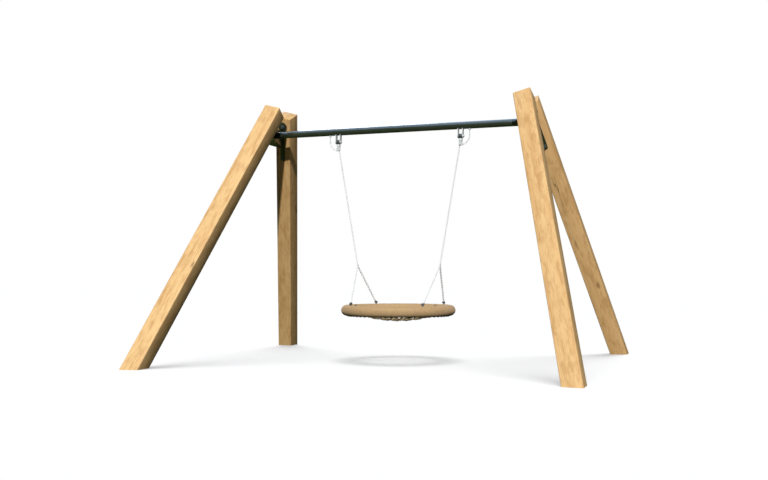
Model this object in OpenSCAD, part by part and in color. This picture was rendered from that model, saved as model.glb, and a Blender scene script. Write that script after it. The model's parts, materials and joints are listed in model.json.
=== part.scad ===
// Basket swing: a round rope-bound nest seat hung from a steel crossbeam on four splayed timber legs.
// X runs along the crossbeam, Y fore and aft, Z up. The origin is on the ground, midway between the legs.

/* [Timber frame] */
// Width of the square timber legs
leg_w = 180; // [140:5:200]
// Distance of each foot from the middle, along the crossbeam
foot_x = 2087; // [1900:1:2300]
// Distance of each foot from the middle, fore and aft
foot_y = 1700; // [1500:10:1900]
// Distance of each leg top from the middle, along the crossbeam
top_x = 1375; // [1300:5:1450]
// Distance of each leg top from the middle, fore and aft
top_y = 150; // [140:5:200]
// Height of the centre of each leg's top
top_z = 2686; // [2600:1:2800]
// Radius of the eased timber edges
leg_edge = 8; // [3:1:15]

/* [Crossbeam] */
// Height of the crossbeam's axis above the ground
beam_z = 2444; // [2380:1:2480]
// Outer diameter of the crossbeam tube
beam_d = 76.1; // [70:0.1:89]
// Wall of the crossbeam tube
beam_wall = 5; // [3:0.5:8]

/* [Head brackets] */
// Thickness of the flange plates on the legs
flange_t = 8; // [6:1:12]
// Width of a flange plate's lower strap
flange_w = 56; // [50:2:70]
// Radius of the round ear at a flange plate's top
ear_r = 54; // [40:1:60]
// Thickness of the web plate between the legs
web_t = 10; // [8:1:14]
// Radius of the web plate's lower corners
web_arch_r = 70; // [40:5:75]

/* [Hangers] */
// Distance of each hanger from the middle, along the crossbeam
hanger_x = 682; // [600:1:720]
// Drop from the crossbeam's axis to the swing axle
axle_drop = 108; // [104:1:116]
// Diameter of the swing axle
axle_d = 16; // [12:1:20]
// Outer diameter of the bearing housing
housing_d = 46; // [42:1:50]
// Length of the bearing housing along the axle
housing_l = 39; // [37:1:45]
// Distance between the fork's upper pin and its chain bolt
fork_l = 46; // [46:1:54]

/* [Chains] */
// Wire diameter of the load chain
chain_wire = 6; // [5:0.5:6]
// Wire diameter of the safety chain
safety_wire = 5; // [4:0.5:5]
// Spacing of the links along a chain
pitch = 18.3; // [18:0.1:18.6]
// Number of links in each upper chain, an odd number
upper_links = 69; // [67:2:71]
// Number of links in each lower chain, an even number
lower_links = 28; // [26:2:28]
// Wire-to-wire spacing of the safety chain's longer links
safety_pitch = 21.8; // [21.5:0.1:22]

/* [Seat] */
// Outer diameter of the seat ring
seat_d = 1200; // [1000:10:1250]
// Diameter of the rope-bound ring section
ring_d = 110; // [90:2:120]
// Height of the ring's middle above the ground
ring_z = 530; // [450:5:560]
// Depth of the net's middle below the ring's middle
net_sag = 105; // [80:5:140]
// Thickness of the net
net_t = 12; // [8:1:16]

/* [Hidden] */
$fn = 48;

timber = "#DDB578";
slate = "#3B4751";
zinc = "#B4B9B8";
brass = "#A98B4B";
foam_grey = "#8A8F8C";
rope_tan = "#BFA077";
net_brown = "#35261C";

// Timber frame: the legs of an end lie in one plane that leans outward by lean, and splay in it by splay
lean = atan((foot_x - top_x) / top_z);
slope_z = top_z / cos(lean);
splay = atan((foot_y - top_y) / slope_z);
leg_l = slope_z / cos(splay);
beam_slope_z = beam_z / cos(lean);
beam_r = beam_d / 2;

// Clearances: around a pin or bolt in its hole, and at a welded joint
fit_gap = 0.4;
weld_gap = 0.15;

// Head brackets, measured along a leg from its foot and up the leaning plane from the ground
ear_drop = 102;
strap_drop = 520;
strap_corner = 14;
ear_z = leg_l - ear_drop;
strap_end_z = leg_l - strap_drop;
low_screw_z = strap_end_z + 30;
web_below = 190;
arch_below = 120;
web_above = 70;
web_side_gap = 8;
web_bottom = beam_slope_z - web_below;
web_arch_top = beam_slope_z - arch_below;
web_top = beam_slope_z + web_above;
spigot_d = beam_d - 2 * beam_wall - 1;
spigot_l = 150;
lock_in = 70;
lock_x = foot_x - beam_z * tan(lean) - lock_in;
screw_d = 20;
screw_l = 120;
screw_head_d = 34.6;
screw_head_h = 13;
washer_t = 4;
washer_d = 44;

// Hangers
axle_z = beam_z - axle_drop;
lug_t = 8;
lug_gap = 1;
lug_r = 24;
lug_in = housing_l / 2 + lug_gap;
axle_half = lug_in + lug_t;
axle_head_h = 7;
axle_nut_h = 9;
axle_end = 12;
hex_across = 27.7;
bush_d = 24;
pin_drop = 42;
pin_d = 12;
tongue_t = 14;
tongue_r = 18;
cheek_gap = 0.75;
cheek_t = 6;
cheek_y = tongue_t / 2 + cheek_gap;
fork_half = cheek_y + cheek_t;
fork_tip_r = 11;
chain_bolt_d = 8;
bridge_top = -22;
bridge_h = 11;
bridge_w = 16;
fork_ear = [24, -46];
fork_ear_r = 11;
fork_ear_hole_r = 6;

// Chain links: the links of a chain keep a small play
play = 0.4;
link_in_l = pitch + play;
link_in_w = 8.4;
bolt_to_link = link_in_l / 2 - chain_bolt_d / 2 - 0.3;
end_reach = link_in_l / 2 + chain_wire / 2;

// Suspension plane: each side's fork, chains and delta link lie in one plane that leans inward
shackle_x = 388.5;
shackle_y = 375;
delta_wire = 8;
delta_r = chain_wire / 2 + 1.5 + delta_wire / 2;
delta_side = 24;
delta_h = delta_side * sqrt(3) / 2;
shackle_wire = 8;
shackle_r = 10;
shackle_ear_t = 7;
shackle_head_h = 4;
shackle_reach = 21;
fork_z = axle_z - pin_drop;
upper_l = fork_l + bolt_to_link + (upper_links - 1) * pitch + end_reach;
lower_l = end_reach + (lower_links - 1) * pitch + bolt_to_link + shackle_reach;
lower_dy = shackle_y - delta_side / 2;
lower_dw = sqrt(lower_l * lower_l - lower_dy * lower_dy);
lower_angle = atan(lower_dy / lower_dw);
shackle_w = upper_l + delta_h + lower_dw;
sus_tilt = asin((hanger_x - shackle_x) / shackle_w);

// Safety chain: a shallow arc from its eye, on the swing axis, to the fork's ear
safety_links = 6;
safety_in_l = safety_pitch + play;
eye_dx = 96;
eye_r = 7.5;
eye_wire = 5;
eye_stem_d = 10;
eye_pad_d = 26;
catch_x = fork_ear[0] * cos(sus_tilt) + fork_ear[1] * sin(sus_tilt);
catch_z = fork_ear[1] * cos(sus_tilt) - fork_ear[0] * sin(sus_tilt) - pin_drop;
arc_turn = 72;
arc_start = atan2(eye_dx - catch_x, -catch_z) - arc_turn / 2;
arc_r = norm([eye_dx - catch_x, catch_z]) / (2 * sin(arc_turn / 2));
arc_l = arc_r * arc_turn * PI / 180;
safety_end = safety_in_l / 2 + safety_wire / 2;
safety_step = (arc_l - 2 * safety_end) / (safety_links - 1);

// Seat
ring_r = ring_d / 2;
ring_mid = seat_d / 2 - ring_r;
core_r = 24.15;
core_wall = 3.5;
rope_t = 8;
skin_gap = 0.3;
ring_lug_t = 8;
ring_lug_r = 9.5;
ring_lug_foot = 15;
ring_lug_lean = 17;
ring_lug_h = 62;
slot_gap = 0.4;
net_edge = ring_mid - ring_r - 2;
net_rise = net_sag - 14;
net_r = (net_edge * net_edge + net_rise * net_rise) / (2 * net_rise);

// ---- helpers ----

// Mirrors the front right quarter's shape to the corner with signs sx and sy
module corner(sx, sy) {
    mirror([sx < 0 ? 1 : 0, 0, 0]) mirror([0, sy < 0 ? 1 : 0, 0]) children();
}

// Mirrors the right side's shape to the side with sign sx
module side(sx) {
    mirror([sx < 0 ? 1 : 0, 0, 0]) children();
}

// Plane of an end's two legs: local Z runs up the lean, local X is its outward normal
module leg_plane() {
    translate([foot_x, 0, 0]) rotate([0, -lean, 0]) children();
}

// A rear right leg's own frame: Z along the leg from its foot, the inner face at Y = -leg_w / 2
module leg_frame() {
    leg_plane() translate([0, foot_y, 0]) rotate([splay, 0, 0]) children();
}

// The suspension plane's frame, at the fork's upper pin: -Z runs down the chain
module sus_frame() {
    translate([hanger_x, 0, fork_z]) rotate([0, sus_tilt, 0]) children();
}

module rounded_square(w, r) {
    square([w - 2 * r, w], center = true);
    square([w, w - 2 * r], center = true);
    for (x = [-1, 1], y = [-1, 1]) translate([x * (w / 2 - r), y * (w / 2 - r)]) circle(r);
}

// A chain link in the XZ plane, long in Z, with an opening of length in_l
module link(wire, in_l) {
    r = (link_in_w + wire) / 2;
    straight = in_l - link_in_w;
    for (s = [0, 180]) {
        rotate([0, s, 0]) translate([0, 0, straight / 2]) rotate([90, 0, 0])
            rotate_extrude(angle = 180, $fn = 24) translate([r, 0]) circle(d = wire, $fn = 16);
    }
    for (s = [-1, 1]) translate([s * r, 0, 0]) cylinder(d = wire, h = straight, center = true, $fn = 16);
}

// A straight run of links down -Z, the first centred at the origin and lying in the XZ plane
module link_run(count) {
    for (i = [0:count - 1]) {
        translate([0, 0, -i * pitch]) rotate([0, 0, (i % 2) * 90]) link(chain_wire, link_in_l);
    }
}

// ---- timber frame and crossbeam ----

module leg() {
    difference() {
        leg_frame() translate([0, 0, -leg_w]) linear_extrude(leg_l + leg_w) rounded_square(leg_w, leg_edge);
        translate([0, 0, -500]) cube([8000, 8000, 1000], center = true);
        leg_frame() screw_places() rotate([-90, 0, 0])
            translate([0, 0, -1]) cylinder(d = screw_d + fit_gap, h = screw_l);
    }
}

// Places a shape at each screw of all four legs, with Z running into the timber
module all_screw_places() {
    for (sx = [-1, 1], sy = [-1, 1]) corner(sx, sy) leg_frame() screw_places() rotate([-90, 0, 0]) children();
}

// Places a shape at each screw on a leg's inner face, in the leg's frame
module screw_places() {
    for (z = [ear_z, low_screw_z]) translate([0, -leg_w / 2, z]) children();
}

module leg_front_left() { color(timber) corner(-1, -1) leg(); }
module leg_front_right() { color(timber) corner(1, -1) leg(); }
module leg_rear_left() { color(timber) corner(-1, 1) leg(); }
module leg_rear_right() { color(timber) corner(1, 1) leg(); }

module crossbeam() {
    color(slate) difference() {
        rotate([0, 90, 0]) translate([-beam_z, 0, 0]) difference() {
            cylinder(d = beam_d, h = 2 * foot_x, center = true);
            cylinder(d = beam_d - 2 * beam_wall, h = 2 * foot_x + 2, center = true);
        }
        for (sx = [-1, 1]) side(sx) {
            leg_plane() translate([-web_t / 2, -200, 0]) cube([1500, 400, 4000]);
            translate([lock_x, 0, beam_z]) rotate([-90, 0, 0]) cylinder(d = 10.4, h = 60);
        }
    }
}

// ---- head brackets ----

module web_outline() {
    edge = (leg_w / 2 + flange_t + weld_gap) / cos(splay);
    half_bottom = foot_y - web_bottom * tan(splay) - edge;
    half_top = foot_y - web_top * tan(splay) - edge;
    arch_half = half_bottom - (web_arch_r + web_side_gap) / cos(splay);
    difference() {
        polygon([
            [-half_bottom, web_bottom], [half_bottom, web_bottom],
            [half_top, web_top], [-half_top, web_top]
        ]);
        translate([-arch_half, web_bottom - 1]) square([2 * arch_half, web_arch_top - web_bottom + 1]);
        for (s = [-1, 1]) translate([s * arch_half, web_arch_top - web_arch_r]) circle(web_arch_r);
    }
}

module head_web() {
    leg_plane() translate([-web_t / 2, 0, 0]) rotate([90, 0, 90]) linear_extrude(web_t) web_outline();
    difference() {
        translate([0, 0, beam_z]) rotate([0, 90, 0]) cylinder(d = spigot_d, h = foot_x);
        leg_plane() translate([0, -200, 0]) cube([1500, 400, 4000]);
        translate([0, 0, beam_z]) cube([2 * (lock_x + lock_in - spigot_l), 200, 200], center = true);
        translate([lock_x, 0, beam_z]) rotate([-90, 0, 0]) cylinder(d = 10, h = 60);
    }
}

module head_web_left() { color(slate) side(-1) head_web(); }
module head_web_right() { color(slate) side(1) head_web(); }

module flange_outline() {
    corner_x = flange_w / 2 - strap_corner;
    corner_z = strap_end_z + strap_corner;
    difference() {
        union() {
            translate([0, ear_z]) circle(ear_r);
            translate([-flange_w / 2, corner_z]) square([flange_w, ear_z - corner_z]);
            translate([-corner_x, strap_end_z]) square([2 * corner_x, 2 * strap_corner]);
            for (s = [-1, 1]) translate([s * corner_x, corner_z]) circle(strap_corner);
        }
        for (z = [ear_z, low_screw_z]) translate([0, z]) circle(d = screw_d + 2);
    }
}

module head_flange() {
    leg_frame() translate([0, -leg_w / 2, 0]) rotate([90, 0, 0]) linear_extrude(flange_t) flange_outline();
}

module head_flange_front_left() { color(slate) corner(-1, -1) head_flange(); }
module head_flange_front_right() { color(slate) corner(1, -1) head_flange(); }
module head_flange_rear_left() { color(slate) corner(-1, 1) head_flange(); }
module head_flange_rear_right() { color(slate) corner(1, 1) head_flange(); }

module leg_screws() {
    color(zinc) all_screw_places() {
        translate([0, 0, -flange_t - washer_t]) cylinder(d = screw_d, h = screw_l - 2 + flange_t + washer_t);
        translate([0, 0, -flange_t - washer_t - screw_head_h])
            cylinder(d = screw_head_d, h = screw_head_h, $fn = 6);
    }
}

module leg_washers() {
    color(zinc) all_screw_places() {
        translate([0, 0, -flange_t - washer_t]) difference() {
            cylinder(d = washer_d, h = washer_t);
            translate([0, 0, -1]) cylinder(d = screw_d + 1, h = washer_t + 2);
        }
    }
}

module beam_lock_screws() {
    color(zinc) for (sx = [-1, 1]) side(sx) translate([lock_x, 0, beam_z]) rotate([-90, 0, 0]) {
        translate([0, 0, 14]) cylinder(d = 9.6, h = beam_r - 14 + 2);
        translate([0, 0, beam_r + 0.5]) cylinder(d = 17.5, h = 5.5);
    }
}

// ---- hangers, fixed pieces ----

module hanger_lugs() {
    for (s = [-1, 1]) translate([hanger_x + s * (lug_in + lug_t / 2) - lug_t / 2, 0, 0]) {
        rotate([90, 0, 90]) linear_extrude(lug_t) difference() {
            union() {
                translate([0, axle_z]) circle(lug_r);
                translate([-lug_r, axle_z]) square([2 * lug_r, axle_drop]);
            }
            translate([0, beam_z]) circle(beam_r + weld_gap);
            translate([-beam_r, beam_z]) square([beam_d, beam_r]);
            translate([0, axle_z]) circle(d = axle_d + 0.6);
        }
    }
}

module hanger_lugs_left() { color(zinc) side(-1) hanger_lugs(); }
module hanger_lugs_right() { color(zinc) side(1) hanger_lugs(); }

module swing_axle() {
    translate([hanger_x, 0, axle_z]) rotate([0, 90, 0]) {
        translate([0, 0, -axle_half]) cylinder(d = axle_d, h = 2 * axle_half + axle_end);
        translate([0, 0, -axle_half - axle_head_h]) cylinder(d = hex_across, h = axle_head_h, $fn = 6);
    }
}

module swing_axle_left() { color(zinc) side(-1) swing_axle(); }
module swing_axle_right() { color(zinc) side(1) swing_axle(); }

module axle_nuts() {
    color(zinc) for (sx = [-1, 1]) side(sx) translate([hanger_x + axle_half, 0, axle_z]) rotate([0, 90, 0]) {
        difference() {
            cylinder(d = hex_across, h = axle_nut_h, $fn = 6);
            translate([0, 0, -1]) cylinder(d = axle_d + 0.3, h = axle_nut_h + 2);
        }
    }
}

// The beam's room above a point on the swing axis
module beam_cut() {
    translate([0, 0, axle_drop]) rotate([0, 90, 0])
        cylinder(r = beam_r + weld_gap, h = 3 * eye_pad_d, center = true);
}

module safety_eye() {
    translate([hanger_x + eye_dx, 0, axle_z]) {
        rotate([0, 90, 0]) rotate_extrude() translate([eye_r, 0]) circle(d = eye_wire, $fn = 24);
        difference() {
            translate([0, 0, eye_r]) cylinder(d = eye_stem_d, h = axle_drop - eye_r);
            beam_cut();
            rotate([0, 90, 0]) cylinder(r = eye_r, h = 2 * eye_pad_d, center = true);
        }
        difference() {
            translate([0, 0, axle_drop - beam_r - 10]) cylinder(d = eye_pad_d, h = 20);
            beam_cut();
        }
    }
}

module safety_eye_left() { color(zinc) side(-1) safety_eye(); }
module safety_eye_right() { color(zinc) side(1) safety_eye(); }

// ---- hangers, moving pieces ----

module bearing_housing() {
    translate([hanger_x, 0, axle_z]) difference() {
        union() {
            rotate([0, 90, 0]) cylinder(d = housing_d, h = housing_l, center = true);
            translate([-tongue_r, -tongue_t / 2, -pin_drop]) cube([2 * tongue_r, tongue_t, pin_drop]);
            translate([0, 0, -pin_drop]) rotate([90, 0, 0])
                cylinder(r = tongue_r, h = tongue_t, center = true);
        }
        rotate([0, 90, 0]) cylinder(d = bush_d + 0.4, h = housing_l + 2, center = true);
        translate([0, 0, -pin_drop]) rotate([90, 0, 0])
            cylinder(d = pin_d + fit_gap, h = tongue_t + 2, center = true);
    }
}

module bearing_housing_left() { color(slate) side(-1) bearing_housing(); }
module bearing_housing_right() { color(slate) side(1) bearing_housing(); }

module bearing_bushes() {
    bush_l = housing_l / 2 - 2;
    color(brass) for (sx = [-1, 1], s = [-1, 1]) side(sx) {
        translate([hanger_x + s * (housing_l / 2 - bush_l / 2), 0, axle_z]) rotate([0, 90, 0]) difference() {
            cylinder(d = bush_d, h = bush_l, center = true);
            cylinder(d = axle_d + 0.4, h = bush_l + 2, center = true);
        }
    }
}

module cheek_outline() {
    difference() {
        union() {
            circle(tongue_r);
            polygon([[-tongue_r, 0], [-fork_tip_r, -fork_l], [fork_tip_r, -fork_l], [tongue_r, 0]]);
            translate([0, -fork_l]) circle(fork_tip_r);
        }
        circle(d = pin_d + 0.3);
        translate([0, -fork_l]) circle(d = chain_bolt_d + 0.4);
    }
}

module hanger_fork() {
    sus_frame() {
        for (s = [-1, 1]) translate([0, s * (cheek_y + cheek_t / 2) + cheek_t / 2, 0]) rotate([90, 0, 0])
            linear_extrude(cheek_t) cheek_outline();
        translate([-bridge_w / 2, -cheek_y - 1, bridge_top - bridge_h])
            cube([bridge_w, 2 * cheek_y + 2, bridge_h]);
        translate([0, cheek_t / 2, 0]) rotate([90, 0, 0]) linear_extrude(cheek_t) difference() {
            union() {
                translate(fork_ear) circle(fork_ear_r);
                translate([fork_ear[0] - fork_ear_r, fork_ear[1]])
                    square([2 * fork_ear_r, bridge_top - fork_ear[1]]);
                translate([bridge_w / 4, bridge_top - bridge_h])
                    square([fork_ear[0] - bridge_w / 4, bridge_h]);
            }
            translate(fork_ear) circle(fork_ear_hole_r);
        }
    }
}

module hanger_fork_left() { color(zinc) side(-1) hanger_fork(); }
module hanger_fork_right() { color(zinc) side(1) hanger_fork(); }

module fork_pins() {
    color(zinc) for (sx = [-1, 1]) side(sx) sus_frame() rotate([90, 0, 0]) {
        cylinder(d = pin_d, h = 2 * fork_half + 8, center = true);
        for (s = [-1, 1]) translate([0, 0, s * (fork_half + 2.2)]) cylinder(d = 20, h = 4, center = true);
    }
}

module chain_bolts() {
    color(zinc) for (sx = [-1, 1]) side(sx) sus_frame() translate([0, 0, -fork_l]) rotate([90, 0, 0]) {
        cylinder(d = chain_bolt_d, h = 2 * fork_half + 12, center = true);
        for (s = [-1, 1]) translate([0, 0, s * (fork_half + 3.2)])
            cylinder(d = 15, h = 6, center = true, $fn = 6);
    }
}

module upper_chain() {
    sus_frame() translate([0, 0, -fork_l - bolt_to_link]) link_run(upper_links);
}

module upper_chain_left() { color(zinc) side(-1) upper_chain(); }
module upper_chain_right() { color(zinc) side(1) upper_chain(); }

// Slope of the safety chain from the vertical at a distance d along it from its eye
function safety_turn(d) = arc_start + d / arc_l * arc_turn;

module safety_chain() {
    translate([hanger_x + eye_dx, 0, axle_z]) for (i = [0:safety_links - 1]) {
        a = safety_turn(safety_end + i * safety_step);
        x = -arc_r * (cos(arc_start) - cos(a));
        z = -arc_r * (sin(a) - sin(arc_start));
        translate([x, 0, z]) rotate([0, a, 0]) rotate([0, 0, (i % 2) * 90]) link(safety_wire, safety_in_l);
    }
}

module safety_chain_left() { color(zinc) side(-1) safety_chain(); }
module safety_chain_right() { color(zinc) side(1) safety_chain(); }

// ---- seat suspension ----

// The delta link's frame: its top corner holds the last link of the upper chain
module delta_frame() {
    sus_frame() translate([0, 0, -upper_l]) children();
}

module delta_link() {
    delta_frame() rotate([90, 0, 90]) for (k = [0:2]) translate([0, -2 * delta_h / 3]) rotate(k * 120) {
        translate([0, 2 * delta_h / 3]) rotate(30)
            rotate_extrude(angle = 120) translate([delta_r, 0]) circle(d = delta_wire, $fn = 24);
        translate([delta_side / 2, -delta_h / 3 - delta_r, 0]) rotate([0, -90, 0])
            cylinder(d = delta_wire, h = delta_side, $fn = 24);
    }
}

module delta_link_left() { color(zinc) side(-1) delta_link(); }
module delta_link_right() { color(zinc) side(1) delta_link(); }

// A rear lower chain's frame: -Z runs from the delta link's corner to the ring
module lower_frame() {
    delta_frame() translate([0, delta_side / 2, -delta_h]) rotate([lower_angle, 0, 0]) children();
}

module lower_chain() {
    lower_frame() translate([0, 0, -end_reach]) link_run(lower_links);
}

module lower_chain_front_left() { color(zinc) corner(-1, -1) lower_chain(); }
module lower_chain_front_right() { color(zinc) corner(1, -1) lower_chain(); }
module lower_chain_rear_left() { color(zinc) corner(-1, 1) lower_chain(); }
module lower_chain_rear_right() { color(zinc) corner(1, 1) lower_chain(); }

// The shackle's frame: its pin is along X at the origin, and Z runs up the chain
module shackle_frame() {
    lower_frame() translate([0, 0, -lower_l]) children();
}

module shackles() {
    color(zinc) for (sx = [-1, 1], sy = [-1, 1]) corner(sx, sy) shackle_frame() difference() {
        union() {
            translate([0, 0, shackle_reach - shackle_r]) rotate([90, 0, 0])
                rotate_extrude(angle = 180) translate([shackle_r, 0]) circle(d = shackle_wire, $fn = 24);
            for (s = [-1, 1]) translate([s * shackle_r, 0, 0]) {
                cylinder(d = shackle_wire, h = shackle_reach - shackle_r, $fn = 24);
                rotate([0, 90, 0]) cylinder(d = 17, h = shackle_ear_t, center = true);
            }
        }
        rotate([0, 90, 0]) cylinder(d = shackle_wire + 0.5, h = 60, center = true);
    }
}

module shackle_pins() {
    color(zinc) for (sx = [-1, 1], sy = [-1, 1]) corner(sx, sy) shackle_frame() rotate([0, 90, 0]) {
        cylinder(d = shackle_wire, h = 2 * shackle_r + 10, center = true);
        translate([0, 0, -shackle_r - shackle_wire / 2 - skin_gap - shackle_head_h])
            cylinder(d = 14, h = shackle_head_h);
    }
}

// The ring lug's frame: its pin hole is at the origin, and -Z runs down the suspension plane
module lug_frame() {
    shackle_frame() rotate([-lower_angle, 0, 0]) children();
}

// A ring lug's plate, leaning outward to the ring's core; grow widens its outline
module ring_lug_plate(t, grow) {
    r = ring_lug_r + grow;
    foot = ring_lug_foot + grow;
    lug_frame() rotate([90, 0, 90]) translate([0, 0, -t / 2]) linear_extrude(t) {
        circle(r);
        polygon([[-r, 0], [r, 0], [ring_lug_lean + foot, -ring_lug_h], [ring_lug_lean - foot, -ring_lug_h]]);
    }
}

module ring_lugs() {
    color(slate) for (sx = [-1, 1], sy = [-1, 1]) corner(sx, sy) difference() {
        ring_lug_plate(ring_lug_t, 0);
        ring_solid(core_r + weld_gap);
        lug_frame() rotate([0, 90, 0]) cylinder(d = shackle_wire + 0.8, h = 2 * ring_lug_t, center = true);
    }
}

// ---- seat ----

module ring_solid(r) {
    translate([0, 0, ring_z]) rotate_extrude($fn = 96) translate([ring_mid, 0]) circle(r);
}

// A hollow ring around the seat, between two section radii
module ring_shell(outer, inner) {
    translate([0, 0, ring_z]) rotate_extrude($fn = 96) translate([ring_mid, 0]) difference() {
        circle(outer);
        circle(inner);
    }
}

// A ring cover with a slot for each ring lug
module slotted_shell(outer, inner) {
    difference() {
        ring_shell(outer, inner);
        for (sx = [-1, 1], sy = [-1, 1]) corner(sx, sy) ring_lug_plate(ring_lug_t + 2 * slot_gap, slot_gap);
    }
}

module ring_core() { color(zinc) ring_shell(core_r, core_r - core_wall); }
module ring_padding() { color(foam_grey) slotted_shell(ring_r - rope_t - skin_gap, core_r + skin_gap); }
module ring_rope() { color(rope_tan) slotted_shell(ring_r, ring_r - rope_t); }

module seat_net() {
    color(net_brown) translate([0, 0, ring_z - net_sag + net_r]) rotate_extrude($fn = 96) intersection() {
        difference() {
            circle(net_r + net_t / 2, $fn = 360);
            circle(net_r - net_t / 2, $fn = 360);
        }
        translate([0, -net_r - net_t]) square([net_edge, net_rise + 2 * net_t]);
    }
}

leg_front_left();
leg_front_right();
leg_rear_left();
leg_rear_right();
crossbeam();
head_web_left();
head_web_right();
head_flange_front_left();
head_flange_front_right();
head_flange_rear_left();
head_flange_rear_right();
leg_screws();
leg_washers();
beam_lock_screws();
hanger_lugs_left();
hanger_lugs_right();
swing_axle_left();
swing_axle_right();
axle_nuts();
safety_eye_left();
safety_eye_right();
bearing_housing_left();
bearing_housing_right();
bearing_bushes();
hanger_fork_left();
hanger_fork_right();
fork_pins();
chain_bolts();
upper_chain_left();
upper_chain_right();
safety_chain_left();
safety_chain_right();
delta_link_left();
delta_link_right();
lower_chain_front_left();
lower_chain_front_right();
lower_chain_rear_left();
lower_chain_rear_right();
shackles();
shackle_pins();
ring_lugs();
ring_core();
ring_padding();
ring_rope();
seat_net();
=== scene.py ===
import json
import logging
import math
from dataclasses import dataclass, field
from enum import Enum
from typing import Callable, Iterable, Sequence

import bmesh
import bpy
from mathutils import Matrix, Vector


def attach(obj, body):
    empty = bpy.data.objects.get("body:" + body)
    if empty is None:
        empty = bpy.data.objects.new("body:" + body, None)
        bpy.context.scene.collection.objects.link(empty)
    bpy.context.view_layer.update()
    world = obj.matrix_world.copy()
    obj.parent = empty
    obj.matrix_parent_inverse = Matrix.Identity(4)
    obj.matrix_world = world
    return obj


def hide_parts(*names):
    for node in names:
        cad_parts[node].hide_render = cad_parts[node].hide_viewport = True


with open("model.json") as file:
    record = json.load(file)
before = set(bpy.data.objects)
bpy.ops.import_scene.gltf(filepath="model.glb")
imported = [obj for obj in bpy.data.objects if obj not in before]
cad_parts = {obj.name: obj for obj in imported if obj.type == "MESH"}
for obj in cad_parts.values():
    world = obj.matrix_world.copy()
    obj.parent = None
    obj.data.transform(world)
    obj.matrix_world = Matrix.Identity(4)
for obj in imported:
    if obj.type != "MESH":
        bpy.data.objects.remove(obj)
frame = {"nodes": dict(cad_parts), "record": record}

log = logging.getLogger("basket_swing")
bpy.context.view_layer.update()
FULL_TURN = 6.2832
YARN_WINDING = 37.7    # six turns, in radians


class Half(Enum):
    """A half of the swing; the value is the sign of its axis."""

    @property
    def label(self) -> str:
        """The word for the half in names."""
        return self.name.lower()


class Side(Half):
    """Left or right end of the swing; the value is the sign of X."""

    LEFT = -1
    RIGHT = 1


class End(Half):
    """Front or rear half of the swing; the value is the sign of Y."""

    FRONT = -1
    REAR = 1


class Body(Enum):
    """The bodies that the joints move."""

    FRAME = "frame"
    SWING = "swing"
    SEAT = "seat"


# ---- layout ----


@dataclass(frozen=True)
class Layout:
    """Driving dimensions of the swing in metres, and the places worked out from them."""

    leg_w: float = 0.180
    top_x: float = 1.375
    top_y: float = 0.150
    top_z: float = 2.686
    beam_z: float = 2.444
    beam_r: float = 0.03805
    hanger_x: float = 0.682
    axle_drop: float = 0.108
    pin_drop: float = 0.042
    fork_l: float = 0.046
    chain_wire: float = 0.006
    pitch: float = 0.0183
    play: float = 0.0004
    link_in_w: float = 0.0084
    upper_links: int = 69
    lower_links: int = 28
    shackle_x: float = 0.3885
    shackle_y: float = 0.375
    shackle_reach: float = 0.021
    delta_side: float = 0.024
    ring_mid: float = 0.545
    ring_r: float = 0.055
    ring_z: float = 0.530
    net_sag: float = 0.105
    net_rise: float = 0.091
    net_edge: float = 0.488

    @property
    def foot(self) -> tuple[float, float]:
        """Distances of each foot from the middle, along and across the crossbeam."""
        place = next(m for m in frame["record"]["mounts"] if m["name"] == "foot_rear_right")["pos_m"]
        return place[0], place[1]

    @property
    def lean(self) -> float:
        """Outward lean of the plane that holds an end's two legs."""
        return math.atan((self.foot[0] - self.top_x) / self.top_z)

    @property
    def slope_z(self) -> float:
        """Height of a leg's top, measured up the leaning plane."""
        return self.top_z / math.cos(self.lean)

    @property
    def splay(self) -> float:
        """Angle of a leg from the middle line of its leaning plane."""
        return math.atan((self.foot[1] - self.top_y) / self.slope_z)

    @property
    def leg_l(self) -> float:
        """Length of a leg's centre line."""
        return self.slope_z / math.cos(self.splay)

    @property
    def axle_z(self) -> float:
        """Height of the swing axis."""
        return self.beam_z - self.axle_drop

    @property
    def fork_z(self) -> float:
        """Height of the fork's upper pin."""
        return self.axle_z - self.pin_drop

    @property
    def link_in_l(self) -> float:
        """Length of a link's opening."""
        return self.pitch + self.play

    @property
    def end_reach(self) -> float:
        """Distance from a link's middle to the wire of what holds its end."""
        return self.link_in_l / 2 + self.chain_wire / 2

    @property
    def bolt_to_link(self) -> float:
        """Distance from an 8 mm bolt's axis to the middle of the link on it."""
        return self.link_in_l / 2 - 0.0043

    @property
    def upper_l(self) -> float:
        """Length from the fork's upper pin to the delta link's top corner."""
        return self.fork_l + self.bolt_to_link + (self.upper_links - 1) * self.pitch + self.end_reach

    @property
    def lower_l(self) -> float:
        """Length from a delta link's lower corner to a shackle's pin."""
        run = (self.lower_links - 1) * self.pitch
        return self.end_reach + run + self.bolt_to_link + self.shackle_reach

    @property
    def lower_angle(self) -> float:
        """Angle of a lower chain from the upper chain's line."""
        across = self.shackle_y - self.delta_side / 2
        return math.asin(across / self.lower_l)

    @property
    def delta_h(self) -> float:
        """Height of the delta link's triangle."""
        return self.delta_side * math.sqrt(3) / 2

    @property
    def sus_tilt(self) -> float:
        """Inward tilt of the plane that holds a side's chains."""
        drop = self.upper_l + self.delta_h + self.lower_l * math.cos(self.lower_angle)
        return math.asin((self.hanger_x - self.shackle_x) / drop)

    @property
    def net_r(self) -> float:
        """Radius of the sphere that the seat net lies on."""
        return (self.net_edge ** 2 + self.net_rise ** 2) / (2 * self.net_rise)

    def net_height(self, radius: float) -> float:
        """Height of the net's middle surface at a distance from the seat's axis."""
        return self.ring_z - self.net_sag + self.net_r - math.sqrt(self.net_r ** 2 - radius ** 2)


PLAN = Layout()


def turn(angle: float, axis: str) -> Matrix:
    """Rotation about a world axis as a 4 by 4 matrix."""
    return Matrix.Rotation(angle, 4, axis)


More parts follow.
